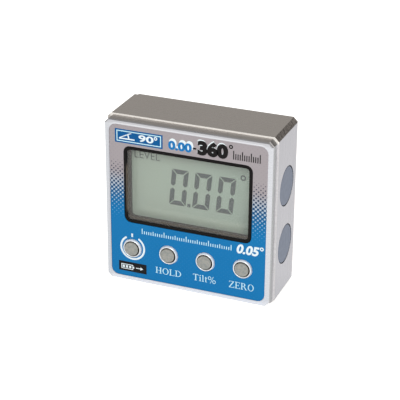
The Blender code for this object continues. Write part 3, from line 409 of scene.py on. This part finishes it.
def lettering(form, words, x, z, high, wide, front, back, slant=0.0, bold=0.0):
    """Words of a given height and width, with their lower left corner at x, z."""
    curve = bpy.data.curves.new("words", "FONT")
    curve.body = words
    curve.offset = bold
    curve.extrude = 0.5
    curve.resolution_u = CURVE_STEPS
    holder = bpy.data.objects.new("words", curve)
    bpy.context.scene.collection.objects.link(holder)
    bpy.context.view_layer.update()
    evaluated = holder.evaluated_get(bpy.context.evaluated_depsgraph_get())
    mesh = bpy.data.meshes.new_from_object(evaluated)
    bpy.data.objects.remove(holder, do_unlink=True)
    bpy.data.curves.remove(curve)
    xs = [vert.co.x for vert in mesh.vertices]
    ys = [vert.co.y for vert in mesh.vertices]
    left, low = min(xs), min(ys)
    stretch_x, stretch_y = wide / (max(xs) - left), high / (max(ys) - low)
    for vert in mesh.vertices:
        across = (vert.co.x - left) * stretch_x
        up = (vert.co.y - low) * stretch_y
        depth = back + (front - back) * (vert.co.z + 0.5)
        vert.co = ((x + across + slant * up) * MM, depth, (z + up) * MM)
    text_form = bmesh.new()
    text_form.from_mesh(mesh)
    bmesh.ops.remove_doubles(text_form, verts=text_form.verts, dist=WELD_DISTANCE)
    text_form.to_mesh(mesh)
    text_form.free()
    form.from_mesh(mesh)
    bpy.data.meshes.remove(mesh)


# Letters with serifs are drawn in hundredths of their height.
LETTER_HIGH = 100
LETTER_SPACE = 10
STEM_WIDE = 16
SERIF_WIDE, SERIF_HIGH = 38, 6


def bow(x, z, reach, rise, thick, thin, start, end, steps=16):
    """Part of an oval stroke, thick at its sides and thin at its top and foot."""
    angles = [math.radians(start + (end - start) * step / steps) for step in range(steps + 1)]
    outer = [(x + reach * math.cos(angle), z + rise * math.sin(angle)) for angle in angles]
    reach, rise = reach - thick, rise - thin
    inner = [(x + reach * math.cos(angle), z + rise * math.sin(angle)) for angle in reversed(angles)]
    return outer + inner


def oval(x, z, reach, rise, thick, thin):
    """Whole oval stroke, in two halves."""
    return [bow(x, z, reach, rise, thick, thin, start, start + 180) for start in (0, 180)]


def dot(x, z, radius, sides=16):
    """Full round dot."""
    angles = [2 * math.pi * step / sides for step in range(sides)]
    return [(x + radius * math.cos(angle), z + radius * math.sin(angle)) for angle in angles]


def stem(left):
    """Upright stroke with serifs at both ends."""
    return [
        box(left + (SERIF_WIDE - STEM_WIDE) / 2, SERIF_HIGH, STEM_WIDE, LETTER_HIGH - 2 * SERIF_HIGH),
        box(left, 0, SERIF_WIDE, SERIF_HIGH),
        box(left, LETTER_HIGH - SERIF_HIGH, SERIF_WIDE, SERIF_HIGH),
    ]


# Each letter's width and its outlines.
SERIF_LETTERS = {
    "H": (98, stem(0) + stem(60) + [box(27, 47, 44, 7)]),
    "O": (96, oval(48, 50, 48, 52, 16, 6)),
    "L": (80, stem(0) + [box(38, 0, 42, 6), box(74, 6, 6, 20)]),
    "D": (94, stem(0) + [bow(38, 50, 56, 50, 16, 6, -90, 90)]),
    "T": (84, [
        box(34, 6, 16, 87), box(23, 0, 38, 6),
        box(0, 93, 84, 7), box(0, 78, 6, 15), box(78, 78, 6, 15),
    ]),
    "i": (34, [box(10, 6, 14, 60), box(0, 0, 34, 6), box(2, 60, 8, 6), dot(17, 88, 9)]),
    "l": (34, [box(10, 6, 14, 94), box(0, 0, 34, 6), box(2, 94, 8, 6)]),
    "t": (40, [box(10, 6, 14, 76), box(10, 0, 28, 6), box(0, 60, 10, 6), box(24, 60, 14, 6)]),
    "%": (122, oval(26, 74, 26, 28, 9, 9) + oval(96, 26, 26, 28, 9, 9) + [
        [(34, -4), (42, -4), (88, 104), (80, 104)],
    ]),
    "Z": (88, [
        box(4, 93, 80, 7), box(4, 76, 6, 17), box(0, 0, 86, 7), box(80, 7, 6, 19),
        [(0, 7), (19, 7), (84, 93), (65, 93)],
    ]),
    "E": (84, stem(0) + [
        box(38, 94, 40, 6), box(72, 78, 6, 16), box(38, 0, 44, 6), box(76, 6, 6, 18),
        box(27, 47, 30, 6), box(57, 40, 5, 20),
    ]),
    "R": (104, stem(0) + [
        bow(38, 74, 36, 26, 16, 6, -90, 90), box(27, 48, 11, 6), box(72, 0, 32, 6),
        [(44, 48), (62, 48), (94, 6), (76, 6)],
    ]),
}


def serif_word(form, word, x, z, high, wide, front, back):
    """Word of serif letters that fills a width."""
    letters = [SERIF_LETTERS[letter] for letter in word]
    total = sum(letter_width + LETTER_SPACE for letter_width, outlines in letters) - LETTER_SPACE
    for letter_width, outlines in letters:
        for outline in outlines:
            points = [(x + wide * u / total, z + high * v / LETTER_HIGH) for u, v in outline]
            slab(form, points, front, back)
        x += (letter_width + LETTER_SPACE) * wide / total


def new_ink(name, light, dark, roughness, **sockets):
    """Printed ink, slightly uneven."""
    material, tree, shader = new_material(name, light, roughness, **sockets)
    paint(tree, shader, between(tree, speckle(tree, 3000.0), 0.3, 0.8), light, dark)
    return material


def finish_piece(form, name, material):
    """Turn a form into a piece that rides on the housing."""
    bmesh.ops.recalc_face_normals(form, faces=form.faces)
    mesh = bpy.data.meshes.new(name)
    form.to_mesh(mesh)
    form.free()
    mesh.materials.append(material)
    piece = bpy.data.objects.new(name, mesh)
    bpy.context.scene.collection.objects.link(piece)
    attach(piece, "housing")


# Pale ink: the words of the keys, the level scale above them and the line of the blue box.
pale = bmesh.new()
for word, x, z, high, wide in (
    ("HOLD", -11.45, 5.45, 2.3, 9.4),
    ("Tilt%", 2.3, 5.5, 2.4, 8.2),
    ("ZERO", 15.2, 5.4, 2.45, 8.8),
):
    serif_word(pale, word, x, z, high, wide, *LAYER)
ten_ticks = [LONG_TICK] + 4 * [SHORT_TICK] + [MIDDLE_TICK] + 4 * [SHORT_TICK]
tick_scale(pale, -16.4, 19.2, 0.8, 0.3, 4 * ten_ticks + [LONG_TICK], *LAYER)
outlined_box(pale, -25.1, 51.9, 15.95, 3.87, 0.32, *UPPER_LAYER)
pale_ink = new_ink("pale_ink", colour(206, 244, 252), colour(188, 234, 250), 0.45)
finish_piece(pale, "pale_print", pale_ink)

# White ink: the power sign, an open ring with a bar in its gap.
white = bmesh.new()
arc_band(white, -19.88, 13.3, 3.92, 4.6, 121, 419, *LAYER)
stripe(white, -20.3, 17.35, 0.62, 1.3, *LAYER)

# White ink: a slanted 0.05 degrees, and the shadows of the large numerals at the top.
lettering(white, "0.05", 17.4, 18.6, 3.5, 7.7, *LAYER, slant=0.2, bold=0.04)
ring(white, 26.45, 21.6, 0.32, 0.68, *LAYER)
lettering(white, "0.00", -6.4, 52.35, 3.4, 8.6, *LAYER, bold=0.06)
lettering(white, "360", 3.5, 51.75, 5.3, 10.4, *LAYER, bold=0.05)

# White ink: in the blue box an angle sign, a foot and a slanted leg with an arc, and 90 degrees.
ANGLE_LEFT, ANGLE_FOOT = -24.2, 52.75
leg = [(0, 0.45), (0.7, 0.45), (4.7, 2.4), (4.0, 2.4)]
stripe(white, ANGLE_LEFT, ANGLE_FOOT, 5.6, 0.45, *UPPER_LAYER)
slab(white, [(ANGLE_LEFT + x, ANGLE_FOOT + z) for x, z in leg], *UPPER_LAYER)
arc_band(white, ANGLE_LEFT, ANGLE_FOOT + 0.2, 3.3, 3.75, 5, 24, *UPPER_LAYER, steps=6)
lettering(white, "90", -17.2, 52.7, 2.45, 5.4, *UPPER_LAYER, bold=0.03)
ring(white, -11.1, 54.65, 0.28, 0.62, *UPPER_LAYER)

# White ink: on the black plate a battery with three bars, and an arrow to the charging socket.
SIGN_MIDDLE = 5.7
BATTERY_LEFT, BATTERY_WIDE = -24.2, 4.4
outlined_box(white, BATTERY_LEFT, SIGN_MIDDLE - 0.95, BATTERY_WIDE, 1.9, 0.25, *UPPER_LAYER)
stripe(white, BATTERY_LEFT + BATTERY_WIDE, SIGN_MIDDLE - 0.35, 0.4, 0.7, *UPPER_LAYER)
for bar in range(3):
    stripe(white, BATTERY_LEFT + 0.5 + 1.2 * bar, SIGN_MIDDLE - 0.45, 0.8, 0.9, *UPPER_LAYER)
arrow_head = [(-17.1, SIGN_MIDDLE - 0.6), (-16.0, SIGN_MIDDLE), (-17.1, SIGN_MIDDLE + 0.6)]
stripe(white, -18.7, SIGN_MIDDLE - 0.15, 1.6, 0.3, *UPPER_LAYER)
slab(white, arrow_head, *UPPER_LAYER)
white_ink = new_ink("white_ink", colour(240, 250, 253), colour(224, 242, 250), 0.45)
finish_piece(white, "white_print", white_ink)

# Black ink: the plate at the lower left, 360 degrees, a dash and a tick scale at the top.
black = bmesh.new()
stripe(black, -25.1, 4.0, 10.3, 3.6, *LAYER)
lettering(black, "360", 3.6, 51.4, 5.3, 10.6, *UPPER_LAYER, bold=0.07)
ring(black, 15.1, 56.0, 0.3, 0.7, *LAYER)
stripe(black, 2.0, 53.1, 1.2, 0.55, *LAYER)
tick_scale(black, 15.9, 51.8, 0.75, 0.34, 3 * [3.0, 2.0, 2.0, 2.0] + [3.0], *LAYER)
black_ink = new_ink("black_ink", colour(12, 11, 11), colour(22, 20, 20), 0.4, Specular_IOR_Level=MATT)
finish_piece(black, "black_print", black_ink)

# Blue ink: the box at the upper left, and in a brighter blue the numerals beside it.
blue = bmesh.new()
stripe(blue, -25.7, 51.4, 17.1, 4.85, *LAYER)
blue_ink = new_ink("blue_ink", colour(4, 84, 146), colour(10, 100, 162), 0.4, Specular_IOR_Level=MATT)
finish_piece(blue, "blue_print", blue_ink)

numerals = bmesh.new()
lettering(numerals, "0.00", -6.65, 51.7, 3.2, 8.3, *UPPER_LAYER, bold=0.05)
bright_blue_ink = new_ink(
    "bright_blue_ink", colour(24, 116, 184), colour(44, 134, 200), 0.4, Specular_IOR_Level=MATT
)
finish_piece(numerals, "numeral_print", bright_blue_ink)


# Window: a clear acrylic pane that lies on the ledge of a black rubber seal in the bezel's opening.
# The seal's lip has a painted highlight at the left and its ledge painted shade, and a moulded frame
# stands behind the pane.
def band(tree, value, start, full, fading, end):
    """1 from full to fading, with soft steps from start and towards end."""
    rising = between(tree, value, start, full)
    falling = between(tree, value, end, fading)
    return maths(tree, "MULTIPLY", rising, falling)


seal_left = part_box("window_gasket")[0].x
pane_low, pane_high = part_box("window_pane")
cell_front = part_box("lcd_glass")[0].y
carrier_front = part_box("display_carrier")[0].y

rubber, tree, shader = new_material("black_rubber", colour(26, 24, 24), 0.6, Specular_IOR_Level=MATT)
across, inward, up = object_axes(tree)
worn = mixed(tree, speckle(tree, 1800.0), colour(8, 7, 7), colour(18, 16, 16))
# Painted shade on the seal's ledge towards the right, and a painted highlight on its lip.
shaded = between(tree, across, seal_left + 1.7 * MM, seal_left + 1.5 * MM)
painted_ledge_light = mixed(tree, shaded, colour(72, 62, 48), colour(46, 39, 30))
behind_pane = between(tree, inward, pane_high.y - 0.25 * MM, pane_high.y - 0.05 * MM)
seal_tone = mixed(tree, behind_pane, worn, painted_ledge_light)
lip = band(
    tree, across,
    seal_left + 0.66 * MM, seal_left + 0.8 * MM, seal_left + 1.0 * MM, seal_left + 1.05 * MM,
)
lit_part = band(
    tree, up,
    pane_low.z + 2.05 * MM, pane_low.z + 4.05 * MM, pane_high.z - 7.25 * MM, pane_high.z - 4.25 * MM,
)
paint(tree, shader, maths(tree, "MULTIPLY", lip, lit_part), seal_tone, colour(98, 90, 80))
dress(rubber, "window_gasket")

pane, tree, shader = new_material("window_pane", (1, 1, 1, 1), 0.06, Alpha=0.05)
smears = maths(tree, "MULTIPLY_ADD", speckle(tree, 60.0), 0.06, 0.03)
link(tree, smears, shader, "Roughness")
dress(pane, "window_pane")

plastic, tree, shader = new_material("dark_plastic", colour(112, 100, 84), 0.55)
[inward] = object_axes(tree, "Y")
moulded = mixed(tree, speckle(tree, 1500.0), colour(56, 48, 36), colour(62, 54, 41))
# Painted shade: the frame's wall grows darker towards the cell, deep in the recess.
painted_depth_shade = between(tree, inward, carrier_front - 0.1 * MM, cell_front + 0.05 * MM)
paint(tree, shader, painted_depth_shade, moulded, colour(28, 26, 16))
dress(plastic, "display_carrier")


# Display: a liquid crystal cell, two sheets of glass in the moulded frame, with gray segments.
# Its pale green ground has painted light along the left and lower rim, a painted reflection towards the
# right and painted shade at the lower right.
# The segments are a thin layer on the cell's front face, measured in millimetres as the marks are.
DIGIT_LEFT = (-8.26, 0.09, 8.45)
DIGIT_FOOT = 30.03
DIGIT_WIDTH = 5.97
DIGIT_HEIGHT = 13.06
DIGIT_STROKE = 1.64
DIGIT_LEAN = 0.093
POINT_LEFT = -1.65
POINT_SIZE = 1.15
SEGMENT_GAP = 0.22
WAIST_GAP = 0.3

cell, tree, shader = new_material("display_cell", colour(166, 180, 168), 0.2)
across, up = object_axes(tree, "XZ")
# Painted reflection towards the right, painted light at the left and lower rim, painted shade at the
# lower right.
rightward = between(tree, across, pane_low.x + 5.45 * MM, pane_high.x + 2.55 * MM)
tone = mixed(tree, rightward, colour(146, 161, 145), colour(135, 154, 140))
left_rim = between(tree, across, pane_low.x + 2.95 * MM, pane_low.x + 0.45 * MM)
lower_rim = between(tree, up, pane_low.z + 4.55 * MM, pane_low.z + 2.05 * MM)
tone = mixed(tree, maths(tree, "MAXIMUM", left_rim, lower_rim), tone, colour(160, 174, 158))
right_part = between(tree, across, pane_high.x - 5.45 * MM, pane_high.x - 0.45 * MM)
lower_part = between(tree, up, pane_low.z + 16.05 * MM, pane_low.z + 3.05 * MM)
tone = mixed(tree, maths(tree, "MULTIPLY", right_part, lower_part), tone, colour(104, 124, 110))
clouds = maths(tree, "MULTIPLY", speckle(tree, 160.0), 0.5)
paint(tree, shader, clouds, tone, colour(156, 174, 161))
dress(cell, "lcd_glass")

segment_ink, tree, shader = new_material("display_segments", colour(104, 112, 110), 0.3)
paint(tree, shader, speckle(tree, 900.0), colour(36, 52, 50), colour(48, 62, 60))

waist = DIGIT_HEIGHT / 2 - WAIST_GAP
level_segment = [
    (SEGMENT_GAP, 0),
    (DIGIT_WIDTH - SEGMENT_GAP, 0),
    (DIGIT_WIDTH - SEGMENT_GAP - DIGIT_STROKE, DIGIT_STROKE),
    (SEGMENT_GAP + DIGIT_STROKE, DIGIT_STROKE),
]
upright_segment = [
    (0, SEGMENT_GAP),
    (DIGIT_STROKE, SEGMENT_GAP + DIGIT_STROKE),
    (DIGIT_STROKE, waist - DIGIT_STROKE / 2),
    (DIGIT_STROKE / 2, waist),
    (0, waist - DIGIT_STROKE / 2),
]
# A zero is the level segment at the foot and at the head, and the upright one in all four corners.
places = [(level_segment, False, upside) for upside in (False, True)]
places += [(upright_segment, mirror, upside) for upside in (False, True) for mirror in (False, True)]
cell_layer = (cell_front - PRINT_THICKNESS, cell_front)
glyphs = bmesh.new()
for left in DIGIT_LEFT:
    for outline, mirror, upside in places:
        points = []
        for x, z in outline:
            x = DIGIT_WIDTH - x if mirror else x
            z = DIGIT_HEIGHT - z if upside else z
            points.append((left + x + DIGIT_LEAN * z, DIGIT_FOOT + z))
        slab(glyphs, points, *cell_layer)
stripe(glyphs, POINT_LEFT, DIGIT_FOOT, POINT_SIZE, POINT_SIZE, *cell_layer)
ring(glyphs, 17.97, 43.87, 0.5, 1.0, *cell_layer)
lettering(glyphs, "LEVEL", -20.6, 44.95, 2.7, 9.2, *cell_layer, bold=-0.01)
finish_piece(glyphs, "display_segments", segment_ink)


# Keys: turned metal caps, one for each key body, satin on the crowned face.
# A flange behind the collar keeps each cap in. Its right edge has a painted dark crescent of shadow.
CRESCENT_START = 2.5 * MM
CRESCENT_FULL = 2.65 * MM

cap_metal, tree, shader = new_material("cap_metal", colour(152, 150, 144), 0.3, 1.0)
across, up = object_axes(tree, "XZ")
# Painted shadow: a dark crescent along each cap's right edge.
off_centre = nearest_key(tree, across, up, aside=-0.2 * MM, above=0.1 * MM)
painted_crescent_shadow = between(tree, off_centre, CRESCENT_START, CRESCENT_FULL)
haze = between(tree, speckle(tree, 1500.0, detail=3.0), 0.3, 0.7)
satin = mixed(tree, haze, colour(126, 129, 126), colour(145, 144, 138))
paint(tree, shader, painted_crescent_shadow, satin, colour(46, 42, 38))
dress(cap_metal, *KEYS)


# Magnets: nickel-plated discs that hold the gauge to steel, such as a saw blade.
# They are glued into the pockets of three edges, flush with the surface.
nickel, tree, shader = new_material("magnet_nickel", colour(118, 130, 148), 0.4, 0.7)
haze = between(tree, speckle(tree, 700.0, detail=4.0), 0.3, 0.7)
paint(tree, shader, haze, colour(64, 78, 102), colour(77, 90, 112))
dress(nickel, *[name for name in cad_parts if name.startswith("magnet_")])


# Screws, charging socket and the pieces inside, each in the plain finish that such parts have.
# Steel is bright, the board green with black chips, and the seals and the key mat gray silicone.
# The battery is a foil pouch stuck to the cover with foam, and its two leads end in a header.
DARKER = 0.88

steel, tree, shader = new_material("bright_steel", colour(190, 190, 190), 0.28, 1.0)
link(tree, maths(tree, "MULTIPLY_ADD", speckle(tree, 2000.0), 0.2, 0.2), shader, "Roughness")
dress(steel, "usb_socket", "tilt_sensor", *[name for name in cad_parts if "_screw_" in name])
chips = ("processor", "switch_power", "switch_hold", "switch_tilt", "switch_zero")
silicone = ("front_gasket", "back_gasket", "key_mat", "contact_strip_upper", "contact_strip_lower")
for name, shade, roughness, members in (
    ("board_green", (20, 96, 60), 0.45, ("main_board",)),
    ("chip_black", (30, 30, 32), 0.5, chips),
    ("gray_silicone", (150, 150, 152), 0.6, silicone),
    ("battery_pouch", (196, 196, 192), 0.35, ("battery",)),
    ("foam_pad", (220, 220, 214), 0.9, ("battery_pad",)),
    ("white_plastic", (230, 228, 220), 0.5, ("battery_header",)),
    ("red_wire", (190, 30, 30), 0.5, ("battery_lead_plus",)),
    ("black_wire", (34, 34, 36), 0.5, ("battery_lead_minus",)),
):
    light, dark = colour(*shade), colour(*[DARKER * part for part in shade])
    plain, tree, shader = new_material(name, light, roughness)
    paint(tree, shader, speckle(tree, 1200.0), light, dark)
    dress(plain, *members)


# Studio: a pale floor, soft daylight all round and two soft lamps.
# The floor glows only where it is seen or mirrored, so it renders white and keeps the shadow.
FLOOR_REACH = 6.0
FLOOR_GLOW = 0.7
DAYLIGHT = (1.0, 0.96, 0.91, 1)
DAYLIGHT_STRENGTH = 0.46
LAMPS = (
    ("lamp_front", (0.3, -0.8, 0.75), 0.5, 6.5),
    ("lamp_above", (0.1, 0.1, 1.1), 0.8, 2.0),
)

floor_white, tree, shader = new_material("floor_white", (0.9, 0.9, 0.9, 1), 0.9)
rays = add_node(tree, "LightPath").outputs
seen = maths(tree, "MAXIMUM", rays["Is Camera Ray"], rays["Is Glossy Ray"])
seen = maths(tree, "MAXIMUM", seen, rays["Is Transmission Ray"])
glow = add_node(tree, "Emission", {"Color": (1, 1, 1, 1), "Strength": FLOOR_GLOW}).outputs[0]
glowing = add_node(tree, "AddShader", {0: shader.outputs[0], 1: glow}).outputs[0]
surface = add_node(tree, "MixShader", {0: seen, 1: shader.outputs[0], 2: glowing}).outputs[0]
tree.links.new(surface, tree.nodes["Material Output"].inputs["Surface"])

floor_form = bmesh.new()
bmesh.ops.create_grid(floor_form, x_segments=1, y_segments=1, size=FLOOR_REACH)
floor_mesh = bpy.data.meshes.new("floor")
floor_form.to_mesh(floor_mesh)
floor_form.free()
floor_mesh.materials.append(floor_white)
floor = bpy.data.objects.new("floor", floor_mesh)
bpy.context.scene.collection.objects.link(floor)

world = bpy.data.worlds.new("studio")
bpy.context.scene.world = world
world.use_nodes = True
daylight = world.node_tree.nodes["Background"].inputs
daylight["Color"].default_value = DAYLIGHT
daylight["Strength"].default_value = DAYLIGHT_STRENGTH

for name, place, size, power in LAMPS:
    lamp = bpy.data.lights.new(name, "AREA")
    lamp.size = size
    lamp.energy = power
    holder = bpy.data.objects.new(name, lamp)
    bpy.context.scene.collection.objects.link(holder)
    holder.location = place
    holder.rotation_euler = (Vector(place) - VIEW_TARGET).to_track_quat("Z", "Y").to_euler()

bpy.context.scene.view_settings.view_transform = "Standard"
